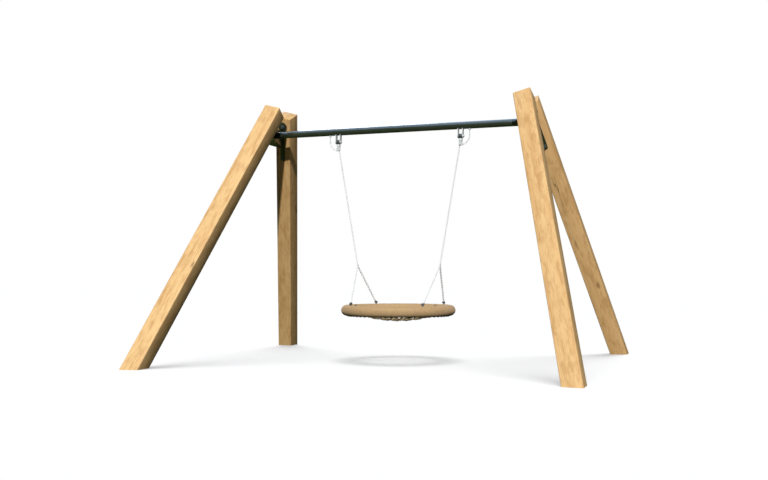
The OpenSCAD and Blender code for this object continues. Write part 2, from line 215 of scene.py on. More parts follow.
def shift(x: float = 0.0, y: float = 0.0, z: float = 0.0) -> Matrix:
    """Translation as a 4 by 4 matrix."""
    return Matrix.Translation((x, y, z))


def corner(side: Side, end: End = End.REAR) -> Matrix:
    """Mirror that carries the rear right quarter to the corner asked for."""
    return Matrix.Diagonal((side.value, end.value, 1.0, 1.0))


def leg_plane() -> Matrix:
    """Frame of the right end's leaning plane: Z up the lean, X its outward normal."""
    return shift(PLAN.foot[0]) @ turn(-PLAN.lean, "Y")


def leg_frame() -> Matrix:
    """Frame of the rear right leg: Z along it from its foot, inner face towards -Y."""
    return leg_plane() @ shift(y=PLAN.foot[1]) @ turn(PLAN.splay, "X")


def sus_frame() -> Matrix:
    """Frame of the right side's chains, at the fork's upper pin, with -Z down the chain."""
    return shift(PLAN.hanger_x, 0, PLAN.fork_z) @ turn(PLAN.sus_tilt, "Y")


def delta_frame() -> Matrix:
    """Frame of the right delta link, at its top corner."""
    return sus_frame() @ shift(z=-PLAN.upper_l)


def lower_frame() -> Matrix:
    """Frame of the rear right lower chain, at the delta link's corner."""
    place = shift(y=PLAN.delta_side / 2, z=-PLAN.delta_h)
    return delta_frame() @ place @ turn(PLAN.lower_angle, "X")


# ---- mesh tools ----


def linked(name: str, data: bpy.types.ID) -> bpy.types.Object:
    """Makes an object of some data and links it to the scene."""
    piece = bpy.data.objects.new(name, data)
    bpy.context.scene.collection.objects.link(piece)
    return piece


def scrap(piece: bpy.types.Object) -> None:
    """Removes a mesh object and its mesh."""
    old = piece.data
    bpy.data.objects.remove(piece)
    bpy.data.meshes.remove(old)


def store(piece: bpy.types.Object, name: str, vectors: Iterable[Sequence[float]]) -> None:
    """Stores one vector for each point of a mesh, as an attribute."""
    mark = piece.data.attributes.new(name, "FLOAT_VECTOR", "POINT")
    mark.data.foreach_set("vector", [value for vector in vectors for value in vector])


def band_faces(rows: int, sides: int, closed: bool = False) -> list[tuple[int, ...]]:
    """Faces between neighbouring rows of a tube's points.

    Args:
        rows: The number of rows.
        sides: The number of points in a row.
        closed: Whether the last row joins the first.

    Returns:
        The faces, row by row.
    """
    faces = []
    for i in range(rows if closed else rows - 1):
        near, far = i * sides, (i + 1) % rows * sides
        for k in range(sides):
            m = (k + 1) % sides
            faces.append((near + k, near + m, far + m, far + k))
    return faces


def tube_faces(rows: int, sides: int) -> list[tuple[int, ...]]:
    """Faces of a tube that is closed by a flat face at each end."""
    caps = [tuple(reversed(range(sides))), tuple(range((rows - 1) * sides, rows * sides))]
    return band_faces(rows, sides) + caps


def mesh_piece(
    name: str, points: Sequence[Sequence[float]], faces: Sequence[Sequence[int]]
) -> bpy.types.Object:
    """Makes a mesh object at the origin from points and faces.

    Args:
        name: The piece's name.
        points: Vertex places in metres.
        faces: Vertex numbers of each face.

    Returns:
        The new object, linked to the scene.
    """
    mesh = bpy.data.meshes.new(name)
    mesh.from_pydata([tuple(p) for p in points], [], [tuple(f) for f in faces])
    mesh.validate()
    return linked(name, mesh)


def outward(piece: bpy.types.Object, merge: float = 0.00001) -> None:
    """Merges a closed mesh's doubles and turns its faces outward.

    Args:
        piece: The mesh object.
        merge: The merge distance in metres.
    """
    work = bmesh.new()
    work.from_mesh(piece.data)
    bmesh.ops.remove_doubles(work, verts=work.verts, dist=merge)
    bmesh.ops.recalc_face_normals(work, faces=work.faces)
    work.to_mesh(piece.data)
    work.free()


def settle(piece: bpy.types.Object) -> None:
    """Applies a piece's modifier stack to its mesh."""
    graph = bpy.context.evaluated_depsgraph_get()
    seen = piece.evaluated_get(graph)
    mesh = bpy.data.meshes.new_from_object(seen, preserve_all_data_layers=True, depsgraph=graph)
    old = piece.data
    piece.modifiers.clear()
    piece.data = mesh
    bpy.data.meshes.remove(old)


def place(piece: bpy.types.Object, matrix: Matrix) -> None:
    """Carries a mesh to its place, keeping its faces outward through a mirror.

    Args:
        piece: The mesh object.
        matrix: The place, as a matrix that may mirror.
    """
    piece.data.transform(matrix)
    if matrix.to_3x3().determinant() < 0:
        piece.data.flip_normals()


def soften(piece: bpy.types.Object, angle: float = 35.0) -> None:
    """Shades a mesh smooth, but sharp where faces meet at more than an angle in degrees."""
    piece.data.shade_smooth()
    piece.data.set_sharp_from_angle(angle=math.radians(angle))


def bevel(piece: bpy.types.Object, width: float, segments: int = 2, weighted: bool = False) -> None:
    """Adds a Bevel modifier.

    Args:
        piece: The mesh object.
        width: The bevel's width in metres.
        segments: The number of segments.
        weighted: Whether edges are chosen by their bevel weights and not by angle.
    """
    step = piece.modifiers.new("ease", "BEVEL")
    step.width = width
    step.segments = segments
    step.limit_method = "WEIGHT" if weighted else "ANGLE"
    step.angle_limit = math.radians(38)
    step.use_clamp_overlap = True


def joined(name: str, parts: Sequence[bpy.types.Object]) -> bpy.types.Object:
    """Joins mesh objects into one object.

    Args:
        name: The name of the joined piece.
        parts: The objects, which are removed.

    Returns:
        The joined object.
    """
    work = bmesh.new()
    for part in parts:
        work.from_mesh(part.data)
    mesh = bpy.data.meshes.new(name)
    work.to_mesh(mesh)
    work.free()
    for part in parts:
        scrap(part)
    return linked(name, mesh)


def repeated(name: str, source: bpy.types.Object, places: Iterable[Matrix]) -> bpy.types.Object:
    """Repeats a mesh at many places as one piece and removes the source.

    Args:
        name: The name of the piece.
        source: The mesh object to repeat.
        places: One matrix for each copy.

    Returns:
        The piece that holds all copies.
    """
    copies = []
    for matrix in places:
        copy = linked(name + "_copy", source.data.copy())
        place(copy, matrix)
        copies.append(copy)
    scrap(source)
    return joined(name, copies)


def plate(name: str, outline: Sequence[tuple[float, float]], thickness: float) -> bpy.types.Object:
    """Makes a flat plate in the XY plane, centred on its thickness.

    Args:
        name: The piece's name.
        outline: Corner points, anticlockwise.
        thickness: The plate's thickness in metres.

    Returns:
        The plate, before its stack.
    """
    count = len(outline)
    points = [(x, y, level) for level in (-thickness / 2, thickness / 2) for x, y in outline]
    faces = [tuple(reversed(range(count))), tuple(range(count, 2 * count))]
    faces += [(i, (i + 1) % count, (i + 1) % count + count, i + count) for i in range(count)]
    return mesh_piece(name, points, faces)


def arc(
    cx: float, cy: float, radius: float, start: float, end: float, steps: int
) -> list[tuple[float, float]]:
    """Points on an arc.

    Args:
        cx: The centre's first coordinate.
        cy: The centre's second coordinate.
        radius: The arc's radius.
        start: The first angle in degrees.
        end: The last angle in degrees.
        steps: The number of steps.

    Returns:
        The points, both ends among them.
    """
    angles = [math.radians(start + (end - start) * i / steps) for i in range(steps + 1)]
    return [(cx + radius * math.cos(a), cy + radius * math.sin(a)) for a in angles]


def wire_loop(name: str, path: Sequence[Sequence[float]], wire_r: float, sides: int) -> bpy.types.Object:
    """Makes a closed round wire from a curve's own bevel.

    Args:
        name: The piece's name.
        path: Points of the closed centre line.
        wire_r: The wire's radius.
        sides: Even number of sides of the wire's section, 4 or more.

    Returns:
        The wire as a mesh object.
    """
    curve = bpy.data.curves.new(name, "CURVE")
    curve.dimensions = "3D"
    curve.bevel_depth = wire_r
    curve.bevel_resolution = (sides - 4) // 2
    spline = curve.splines.new("POLY")
    spline.points.add(len(path) - 1)
    for point, where in zip(spline.points, path):
        point.co = (*where, 1.0)
    spline.use_cyclic_u = True
    helper = linked(name + "_curve", curve)
    seen = helper.evaluated_get(bpy.context.evaluated_depsgraph_get())
    mesh = bpy.data.meshes.new_from_object(seen)
    bpy.data.objects.remove(helper)
    bpy.data.curves.remove(curve)
    piece = linked(name, mesh)
    outward(piece)
    return piece


def stadium(in_l: float, in_w: float, wire: float, steps: int) -> list[tuple[float, float, float]]:
    """Centre line of a chain link in the XZ plane.

    Args:
        in_l: Length of the link's opening.
        in_w: Width of the link's opening.
        wire: The wire's diameter.
        steps: Steps in each rounded end.

    Returns:
        The closed centre line's points.
    """
    radius = (in_w + wire) / 2
    half = (in_l - in_w) / 2
    top = arc(0, half, radius, 0, 180, steps)
    bottom = arc(0, -half, radius, 180, 360, steps)
    return [(x, 0.0, z) for x, z in top + bottom]


def sweep(
    name: str,
    path: Sequence[Vector],
    radius: float,
    closed: bool = False,
    sides: int = 9,
    strands: int = 3,
    lobe: float = 0.12,
    lay: float = 0.055,
) -> bpy.types.Object:
    """Makes a twisted rope along a path, with its strands as real ridges.

    The attribute "strand" holds the length along the rope, the turn round it and the ridge's height.

    Args:
        name: The piece's name.
        path: Points of the centre line, evenly spaced.
        radius: The rope's radius.
        closed: Whether the rope joins its own start.
        sides: Number of sides of its section.
        strands: Number of strands that are laid together.
        lobe: Depth of the grooves between strands, as a share of the radius.
        lay: Length of one full twist.

    Returns:
        The rope, closed at its ends.
    """
    count = len(path)
    tangents = []
    for i in range(count):
        before = path[i - 1] if closed or i > 0 else path[0]
        after = path[(i + 1) % count] if closed or i < count - 1 else path[-1]
        tangents.append((after - before).normalized())
    normal = tangents[0].orthogonal().normalized()
    lengths = [0.0]
    for a, b in zip(path, path[1:]):
        lengths.append(lengths[-1] + (b - a).length)
    points, marks = [], []
    for i, centre in enumerate(path):
        normal = (normal - tangents[i] * normal.dot(tangents[i])).normalized()
        binormal = tangents[i].cross(normal)
        for k in range(sides):
            around = 2 * math.pi * k / sides
            phase = strands * around - 2 * math.pi * lengths[i] / lay
            ridge = 0.5 + 0.5 * math.cos(phase)
            reach = radius * (1 - lobe * (1 - ridge))
            points.append(centre + (normal * math.cos(around) + binormal * math.sin(around)) * reach)
            marks.append((lengths[i], around / (2 * math.pi), ridge))
    faces = band_faces(count, sides, closed=True) if closed else tube_faces(count, sides)
    piece = mesh_piece(name, points, faces)
    store(piece, "strand", marks)
    return piece


# ---- shading tools ----


class Graph:
    """Builder for the node tree of one material, group or world."""

    def __init__(self, tree: bpy.types.NodeTree) -> None:
        """Takes the tree to build in."""
        self.tree = tree

    def add(self, kind: str, inputs: dict | None = None, **settings: object) -> bpy.types.Node:
        """Adds a node.

        Args:
            kind: The node's type without its ShaderNode prefix.
            inputs: Values or output sockets by input name or number.
            settings: The node's own settings.

        Returns:
            The new node.
        """
        node = self.tree.nodes.new("ShaderNode" + kind)
        for name, value in settings.items():
            setattr(node, name, value)
        self.feed(node, inputs or {})
        return node

    def feed(self, node: bpy.types.Node, values: dict) -> None:
        """Links sockets to a node's inputs and sets plain values on them.

        Args:
            node: The node.
            values: Values or output sockets by input name or number.
        """
        for key, value in values.items():
            if isinstance(value, bpy.types.NodeSocket):
                self.tree.links.new(value, node.inputs[key])
            else:
                node.inputs[key].default_value = value

    def math(self, operation: str, *values: object, clamp: bool = False) -> bpy.types.NodeSocket:
        """Adds a Math node on up to three values and returns its output."""
        inputs = dict(enumerate(values))
        return self.add("Math", inputs, operation=operation, use_clamp=clamp).outputs[0]

    def vector(self, operation: str, first: object, second: object) -> bpy.types.NodeSocket:
        """Adds a Vector Math node on two vectors and returns its vector."""
        return self.add("VectorMath", {0: first, 1: second}, operation=operation).outputs[0]

    def ramp(
        self, value: object, low: float, high: float, start: float = 0.0, end: float = 1.0
    ) -> bpy.types.NodeSocket:
        """Maps a value smoothly from low..high to start..end and returns the output."""
        inputs = {"Value": value, 1: low, 2: high, 3: start, 4: end}
        return self.add("MapRange", inputs, interpolation_type="SMOOTHSTEP").outputs[0]

    def mix(self, share: object, first: object, second: object, blend: str = "MIX") -> bpy.types.NodeSocket:
        """Mixes two colours by a share and returns the colour output."""
        node = self.add("Mix", {0: share, 6: first, 7: second}, data_type="RGBA", blend_type=blend)
        return node.outputs[2]

    def noise(
        self, vector: object, scale: float, detail: float = 3.0, rough: float = 0.5
    ) -> bpy.types.NodeSocket:
        """Adds a noise texture on a vector and returns its value."""
        inputs = {"Vector": vector, "Scale": scale, "Detail": detail, "Roughness": rough}
        return self.add("TexNoise", inputs).outputs[0]

    def stretched(self, vector: object, x: float, y: float, z: float) -> bpy.types.NodeSocket:
        """Scales a vector by its axes and returns the output."""
        return self.add("Mapping", {"Vector": vector, "Scale": (x, y, z)}).outputs[0]

    def bump(self, height: object, distance: float, strength: float = 1.0) -> bpy.types.NodeSocket:
        """Adds a bump of a height mask and returns its normal."""
        return self.add("Bump", {"Height": height, "Distance": distance, "Strength": strength}).outputs[0]


def colour(red: float, green: float, blue: float) -> tuple[float, float, float, float]:
    """A linear colour with full alpha."""
    return (red, green, blue, 1.0)


def group(name: str, inputs: Sequence[str], outputs: Sequence[str], build: Callable) -> bpy.types.NodeTree:
    """Makes a shader node group once and returns it afterwards.

    Args:
        name: The group's name.
        inputs: Socket names; a name that ends in "Vector" is a vector, others are floats.
        outputs: Socket names of float outputs.
        build: A function of the graph, the input node and the output node.

    Returns:
        The group's tree.
    """
    if name in bpy.data.node_groups:
        return bpy.data.node_groups[name]
    tree = bpy.data.node_groups.new(name, "ShaderNodeTree")
    for label in inputs:
        kind = "NodeSocketVector" if label.endswith("Vector") else "NodeSocketFloat"
        tree.interface.new_socket(label, in_out="INPUT", socket_type=kind)
    for label in outputs:
        tree.interface.new_socket(label, in_out="OUTPUT", socket_type="NodeSocketFloat")
    source = tree.nodes.new("NodeGroupInput")
    sink = tree.nodes.new("NodeGroupOutput")
    build(Graph(tree), source, sink)
    return tree


def use_group(graph: Graph, tree: bpy.types.NodeTree, inputs: dict) -> bpy.types.Node:
    """Places a node group in a tree.

    Args:
        graph: The builder of the material's tree.
        tree: The group.
        inputs: Values or output sockets by input name.

    Returns:
        The group's node.
    """
    node = graph.tree.nodes.new("ShaderNodeGroup")
    node.node_tree = tree
    graph.feed(node, inputs)
    return node


def build_figure(graph: Graph, source: bpy.types.Node, sink: bpy.types.Node) -> None:
    """Fills the group of a timber's figure: rings, fibres, streaks, flecks, patches, knots and checks."""
    along = source.outputs["Grain Vector"]
    warp = graph.add("TexNoise", {"Vector": graph.stretched(along, 3, 3, 0.7), "Scale": 1.0, "Detail": 2.0})
    centred = graph.vector("SUBTRACT", warp.outputs[1], (0.5, 0.5, 0.5))
    pushed = graph.add("VectorMath", {0: centred, "Scale": 0.05}, operation="SCALE").outputs[0]
    bent = graph.vector("ADD", along, pushed)
    flat = graph.vector("MULTIPLY", bent, (1.0, 1.0, 0.0))
    radius = graph.add("VectorMath", {0: flat}, operation="LENGTH").outputs["Value"]
    per_metre = graph.math("DIVIDE", FULL_TURN, source.outputs["Ring Width"])
    wave = graph.math("SINE", graph.math("MULTIPLY", radius, per_metre))
    rings = graph.math("POWER", graph.math("MULTIPLY_ADD", wave, 0.5, 0.5), 2.2)
    fibre = graph.noise(graph.stretched(along, 260, 260, 7), 1.0, 3.0, 0.6)
    streak = graph.noise(graph.stretched(bent, 15, 15, 0.9), 1.0, 3.0, 0.55)
    fleck = graph.noise(graph.stretched(bent, 36, 36, 7.5), 1.0, 4.0, 0.62)
    cell = graph.add("TexVoronoi", {"Vector": graph.stretched(bent, 4.2, 4.2, 1.9), "Scale": 1.0})
    chosen = graph.math("GREATER_THAN", graph.add("SeparateColor", {0: cell.outputs[1]}).outputs[0], 0.62)
    knot = graph.math("MULTIPLY", graph.ramp(cell.outputs[0], 0.15, 0.07), chosen)
    drift = graph.noise(graph.stretched(bent, 11, 11, 0.5), 1.0, 2.0)
    line = graph.math("ABSOLUTE", graph.math("SUBTRACT", drift, 0.5))
    where = graph.ramp(graph.noise(graph.stretched(along, 5, 5, 1.1), 1.0, 1.0), 0.52, 0.60)
    check = graph.math("MULTIPLY", graph.ramp(line, 0.006, 0.001), where)
    patch = graph.noise(graph.stretched(along, 10, 10, 5), 1.0, 3.0, 0.6)
    graph.feed(sink, {"Rings": rings, "Fibre": fibre, "Streak": streak, "Fleck": fleck})
    graph.feed(sink, {"Patch": patch, "Knot": knot, "Check": check})


def build_weather(graph: Graph, source: bpy.types.Node, sink: bpy.types.Node) -> None:
    """Fills the group of weathering: broad patches, fine grit and sparse scuffs."""
    spot = source.outputs["Place Vector"]
    patch = graph.noise(spot, 6.0, 3.0, 0.55)
    grit = graph.noise(spot, 420.0, 2.0, 0.6)
    scuff = graph.noise(graph.stretched(spot, 90, 35, 90), 1.0, 4.0, 0.7)
    amount = graph.math("MULTIPLY", graph.ramp(scuff, 0.60, 0.68), source.outputs["Wear"])
    graph.feed(sink, {"Patch": patch, "Grit": grit, "Scuff": amount})


def build_yarn(graph: Graph, source: bpy.types.Node, sink: bpy.types.Node) -> None:
    """Fills the group of laid rope: yarns that cross the strands, and loose fibres."""
    parts = graph.add("SeparateXYZ", {0: source.outputs["Strand Vector"]})
    length, around = parts.outputs[0], parts.outputs[1]
    slope = graph.math("MULTIPLY", length, source.outputs["Yarns per Metre"])
    twist = graph.math("MULTIPLY", slope, FULL_TURN)
    yarn = graph.math("SINE", graph.math("MULTIPLY_ADD", around, YARN_WINDING, twist))
    cords = graph.math("MULTIPLY_ADD", yarn, 0.5, 0.5)
    fuzz = graph.noise(source.outputs["Place Vector"], 900.0, 2.0, 0.6)
    tone = graph.noise(source.outputs["Place Vector"], 42.0, 3.0, 0.6)
    graph.feed(sink, {"Yarn": cords, "Fuzz": fuzz, "Tone": tone})


def figure_group() -> bpy.types.NodeTree:
    """The timber figure group."""
    return group(
        "timber figure",
        ["Grain Vector", "Ring Width"],
        ["Rings", "Fibre", "Streak", "Fleck", "Patch", "Knot", "Check"],
        build_figure,
    )


def weather_group() -> bpy.types.NodeTree:
    """The weathering group."""
    return group("weathering", ["Place Vector", "Wear"], ["Patch", "Grit", "Scuff"], build_weather)


def yarn_group() -> bpy.types.NodeTree:
    """The laid rope group."""
    inputs = ["Strand Vector", "Place Vector", "Yarns per Metre"]
    return group("laid rope", inputs, ["Yarn", "Fuzz", "Tone"], build_yarn)


def new_material(name: str) -> tuple[bpy.types.Material, Graph, bpy.types.Node]:
    """Makes an empty material.

    Args:
        name: The material's name.

    Returns:
        The material, its graph and its Principled shader.
    """
    material = bpy.data.materials.new(name)
    material.use_nodes = True
    graph = Graph(material.node_tree)
    shader = next(n for n in material.node_tree.nodes if n.type == "BSDF_PRINCIPLED")
    return material, graph, shader


@dataclass(frozen=True)
class TimberFinish:
    """Oiled honey pine, sawn and planed, with its figure along the piece's own grain."""

    name: str
    early: tuple[float, float, float] = (0.82, 0.530, 0.235)
    late: tuple[float, float, float] = (0.60, 0.320, 0.105)
    ring_width: float = 0.011

    def make(self) -> bpy.types.Material:
        """Builds the material from the grain attribute."""
        material, graph, shader = new_material(self.name)
        grain = graph.add("Attribute", attribute_name="grain").outputs["Vector"]
        figure = use_group(graph, figure_group(), {"Grain Vector": grain, "Ring Width": self.ring_width})
        part = figure.outputs
        rings, fibre = part["Rings"], part["Fibre"]
        warm = graph.ramp(part["Streak"], 0.30, 0.72)
        dull = graph.ramp(part["Streak"], 0.46, 0.26)
        layers = {
            "warm streaks": (graph.math("MULTIPLY", warm, 0.55), (0.88, 0.60, 0.285)),
            "dull streaks": (graph.math("MULTIPLY", dull, 0.55), (0.54, 0.285, 0.10)),
            "flecks": (graph.ramp(part["Fleck"], 0.54, 0.34, 0.0, 0.42), (0.46, 0.225, 0.070)),
            "blotches": (graph.ramp(part["Patch"], 0.52, 0.34, 0.0, 0.34), (0.50, 0.255, 0.085)),
            "fibres": (graph.ramp(fibre, 0.35, 0.75, 0.0, 0.22), (0.50, 0.27, 0.095)),
            "knots": (graph.math("MULTIPLY", part["Knot"], 0.8), (0.20, 0.085, 0.030)),
            # Painted shade: the checks are drawn nearly black, standing in for the shade inside the cracks;
            # their dent in the bump is real relief.
            "checks": (graph.math("MULTIPLY", part["Check"], 0.85), (0.06, 0.03, 0.015)),
        }
        tone = graph.mix(graph.math("MULTIPLY", rings, 0.45), colour(*self.early), colour(*self.late))
        for share, tint in layers.values():
            tone = graph.mix(share, tone, colour(*tint))
        relief = graph.math("SUBTRACT", graph.math("MULTIPLY_ADD", rings, 0.25, fibre), part["Check"])
        graph.feed(shader, {
            "Base Color": tone,
            "Roughness": graph.ramp(fibre, 0.2, 0.8, 0.46, 0.64),
            "Normal": graph.bump(relief, 0.0006, 0.35),
        })
        shader.inputs["Specular IOR Level"].default_value = 0.25
        return material


@dataclass(frozen=True)
class CoatFinish:
    """Gloss powder coat on steel."""

    name: str = "slate_coat"
    tint: tuple[float, float, float] = (0.032, 0.042, 0.030)
    wear: float = 0.25

    def make(self) -> bpy.types.Material:
        """Builds the material."""
        material, graph, shader = new_material(self.name)
        spot = graph.add("TexCoord").outputs["Object"]
        weather = use_group(graph, weather_group(), {"Place Vector": spot, "Wear": self.wear})
        red, green, blue = self.tint
        deep = colour(red * 0.80, green * 0.80, blue * 0.80)
        base = graph.mix(graph.ramp(weather.outputs["Patch"], 0.35, 0.70), deep, colour(*self.tint))
        dusty = graph.mix(weather.outputs["Scuff"], base, colour(0.13, 0.14, 0.135))
        graph.feed(shader, {
            "Base Color": dusty,
            "Roughness": graph.ramp(weather.outputs["Grit"], 0.2, 0.8, 0.24, 0.36),
            "Normal": graph.bump(graph.noise(spot, 160.0, 1.0), 0.0003, 0.35),
        })
        shader.inputs["Coat Weight"].default_value = 1.0
        shader.inputs["Coat Roughness"].default_value = 0.07
        return material


@dataclass(frozen=True)
class MetalFinish:
    """Bare or dipped metal, with a spangle, dull patches and scuffs."""

    name: str
    tint: tuple[float, float, float]
    metallic: float
    roughness: float
    spangle: float = 0.18
    wear: float = 0.35

    def make(self) -> bpy.types.Material:
        """Builds the material."""
        material, graph, shader = new_material(self.name)
        spot = graph.add("TexCoord").outputs["Object"]
        weather = use_group(graph, weather_group(), {"Place Vector": spot, "Wear": self.wear})
        cells = graph.add("TexVoronoi", {"Vector": spot, "Scale": 110.0})
        flake = graph.add("SeparateColor", {0: cells.outputs[1]}).outputs[0]
        red, green, blue = self.tint
        dark = colour(red * 0.72, green * 0.73, blue * 0.75)
        base = graph.mix(graph.math("MULTIPLY", flake, self.spangle), colour(*self.tint), dark)
        dull = graph.mix(graph.ramp(weather.outputs["Patch"], 0.42, 0.70, 0.0, 0.30), base, dark)
        final = graph.mix(weather.outputs["Scuff"], dull, colour(red * 0.55, green * 0.52, blue * 0.48))
        low, high = self.roughness - 0.08, self.roughness + 0.10
        graph.feed(shader, {
            "Base Color": final,
            "Roughness": graph.ramp(weather.outputs["Grit"], 0.2, 0.8, low, high),
            "Normal": graph.bump(weather.outputs["Grit"], 0.00012, 0.5),
        })
        shader.inputs["Metallic"].default_value = self.metallic
        return material


@dataclass(frozen=True)
class RopeFinish:
    """Laid rope with yarns and fuzz, and painted shade in the grooves between strands and between yarns."""

    name: str
    crown: tuple[float, float, float]
    groove_shade: tuple[float, float, float]
    yarns: float = 260.0

    def make(self) -> bpy.types.Material:
        """Builds the material from the strand attribute."""
        material, graph, shader = new_material(self.name)
        strand = graph.add("Attribute", attribute_name="strand").outputs["Vector"]
        spot = graph.add("TexCoord").outputs["Object"]
        inputs = {"Strand Vector": strand, "Place Vector": spot, "Yarns per Metre": self.yarns}
        yarn = use_group(graph, yarn_group(), inputs)
        ridge = graph.add("SeparateXYZ", {0: strand}).outputs[2]
        # Painted shade: the grooves between strands take the dark second colour, and the ridges take the
        # crown colour.
        base = graph.mix(graph.ramp(ridge, 0.0, 0.55), colour(*self.groove_shade), colour(*self.crown))
        red, green, blue = self.crown
        light = colour(min(1.0, red * 1.22), min(1.0, green * 1.20), min(1.0, blue * 1.18))
        toned = graph.mix(graph.ramp(yarn.outputs["Tone"], 0.40, 0.68, 0.0, 0.32), base, light)
        # Painted shade: the gaps between yarns are darkened towards the dark second colour.
        shaded = graph.mix(graph.ramp(yarn.outputs["Yarn"], 0.5, 0.0, 0.0, 0.28), toned, colour(*self.groove_shade))
        relief = graph.math("ADD", graph.math("MULTIPLY", yarn.outputs["Yarn"], 0.7), yarn.outputs["Fuzz"])
        graph.feed(shader, {
            "Base Color": shaded,
            "Roughness": graph.ramp(yarn.outputs["Fuzz"], 0.2, 0.8, 0.72, 0.92),
            "Normal": graph.bump(relief, 0.0006, 0.6),
        })
        shader.inputs["Sheen Weight"].default_value = 0.15
        shader.inputs["Specular IOR Level"].default_value = 0.25
        return material


@dataclass(frozen=True)
class FoamFinish:
    """Closed-cell foam with fine pores, and painted shade in the pores."""

    name: str = "ring_foam"

    def make(self) -> bpy.types.Material:
        """Builds the material."""
        material, graph, shader = new_material(self.name)
        spot = graph.add("TexCoord").outputs["Object"]
        pores = graph.add("TexVoronoi", {"Vector": spot, "Scale": 700.0}).outputs[0]
        # Painted shade: the pore hollows are darker than the foam between them.
        base = graph.mix(graph.ramp(pores, 0.1, 0.5), colour(0.10, 0.10, 0.10), colour(0.24, 0.24, 0.24))
        graph.feed(shader, {
            "Base Color": base,
            "Roughness": graph.ramp(pores, 0.1, 0.6, 0.95, 0.78),
            "Normal": graph.bump(pores, 0.0004, 0.7),
        })
        return material


@dataclass
class Finishes:
    """Every finish of the swing, each made once."""

    made: dict[str, bpy.types.Material] = field(default_factory=dict)

    def take(self, finish: object) -> bpy.types.Material:
        """Returns a finish's material, building it on first use."""
        if finish.name not in self.made:
            self.made[finish.name] = finish.make()
        return self.made[finish.name]


SLATE = CoatFinish()
ZINC = MetalFinish("galvanised_steel", (0.80, 0.82, 0.805), 0.22, 0.46)
CHAIN_ZINC = MetalFinish("galvanised_chain", (0.97, 0.97, 0.96), 0.0, 0.45, spangle=0.06, wear=0.12)
DULL_ZINC = MetalFinish("dulled_zinc", (0.115, 0.125, 0.120), 0.45, 0.52, spangle=0.3)
CAST = MetalFinish("dark_cast_iron", (0.085, 0.095, 0.095), 0.35, 0.58, spangle=0.4)
LUG_STEEL = MetalFinish("dark_lug_steel", (0.075, 0.075, 0.072), 0.40, 0.50, spangle=0.3)
BRONZE = MetalFinish("bush_bronze", (0.62, 0.46, 0.22), 0.9, 0.36, spangle=0.1)
WELD = MetalFinish("painted_weld", (0.040, 0.052, 0.046), 0.0, 0.42, spangle=0.2)
# The second colour of each rope is painted shade for its grooves.
WINDING = RopeFinish("ring_winding", (0.560, 0.372, 0.184), (0.17, 0.098, 0.042), yarns=330.0)
NET = RopeFinish("net_rope", (0.38, 0.285, 0.155), (0.075, 0.050, 0.026))
LASHING = RopeFinish("net_lashing", (0.56, 0.425, 0.225), (0.13, 0.090, 0.042))
FOAM = FoamFinish()


def dress(piece: bpy.types.Object, material: bpy.types.Material) -> None:
    """Puts one material on all of a piece."""
    piece.data.materials.clear()
    piece.data.materials.append(material)


def dress_node(node: bpy.types.Object, material: bpy.types.Material) -> None:
    """Puts a material in all of a kept node's slots."""
    if not node.material_slots:
        node.data.materials.append(material)
    for holder in node.material_slots:
        holder.material = material


def hand_over(piece: bpy.types.Object, body: Body, nodes: Sequence[str] = ()) -> None:
    """Rides a piece on its body and hides the nodes it stands for.

    Args:
        piece: The finished piece.
        body: The body it moves with.
        nodes: The nodes that it replaces.
    """
    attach(piece, body.value)
    if nodes:
        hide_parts(*nodes)
    log.info("%s rides on %s", piece.name, body.value)


# ---- sub-assemblies ----


@dataclass
class TimberLegs:
    """The four square legs, each cut flat at the ground and square at its top."""

    finishes: Finishes
    long_edge: float = 0.008
    sections: int = 16

    def cage(self, name: str) -> bpy.types.Object:
        """Builds one leg in its own frame, with bevel weights on its edges.

        Args:
            name: The piece's name.

        Returns:
            The leg before it is placed.
        """
        half = PLAN.leg_w / 2
        matrix = leg_frame()
        up = matrix.to_3x3()[2]
        base = matrix.translation.z
        points = []
        corners = [(-half, -half), (half, -half), (half, half), (-half, half)]
        foot_z = [-(base + up[0] * x + up[1] * y) / up[2] for x, y in corners]
        for i in range(self.sections + 1):
            share = i / self.sections
            for (x, y), low in zip(corners, foot_z):
                points.append((x, y, low + (PLAN.leg_l - low) * share))
        sides = len(corners)
        leg = mesh_piece(name, points, tube_faces(self.sections + 1, sides))
        weights = leg.data.attributes.new("bevel_weight_edge", "FLOAT", "EDGE")
        for edge in leg.data.edges:
            a, b = sorted(edge.vertices)
            runs_along = b - a == sides
            at_top = a >= sides * self.sections
            weights.data[edge.index].value = 1.0 if runs_along else (0.5 if at_top else 0.0)
        return leg

    def grain(self, leg: bpy.types.Object, pith: tuple[float, float, float]) -> None:
        """Stores each point's place in the log that the leg was sawn from.

        Args:
            leg: The leg in its own frame.
            pith: The leg's offset from the log's heart, and along the log.
        """
        offset = Vector(pith)
        store(leg, "grain", [v.co + offset for v in leg.data.vertices])

    def build(self) -> None:
        """Builds, dresses and places the four legs."""
        sawn = {
            (Side.LEFT, End.FRONT): ((0.17, 0.11, 3.1), (0.89, 0.575, 0.258)),
            (Side.RIGHT, End.FRONT): ((0.12, -0.18, 9.7), (0.84, 0.530, 0.232)),
            (Side.LEFT, End.REAR): ((-0.16, 0.14, 17.3), (0.80, 0.500, 0.205)),
            (Side.RIGHT, End.REAR): ((0.15, 0.16, 24.6), (0.93, 0.565, 0.240)),
        }
        for (side, end), (pith, early) in sawn.items():
            quarter = f"{end.label}_{side.label}"
            name = f"leg_{quarter}"
            leg = self.cage(name + "_timber")
            bevel(leg, self.long_edge, 3, weighted=True)
            settle(leg)
            self.grain(leg, pith)
            place(leg, corner(side, end) @ leg_frame())
            soften(leg, 30)
            dress(leg, self.finishes.take(TimberFinish(f"pine_{quarter}", early)))
            hand_over(leg, Body.FRAME, [name])


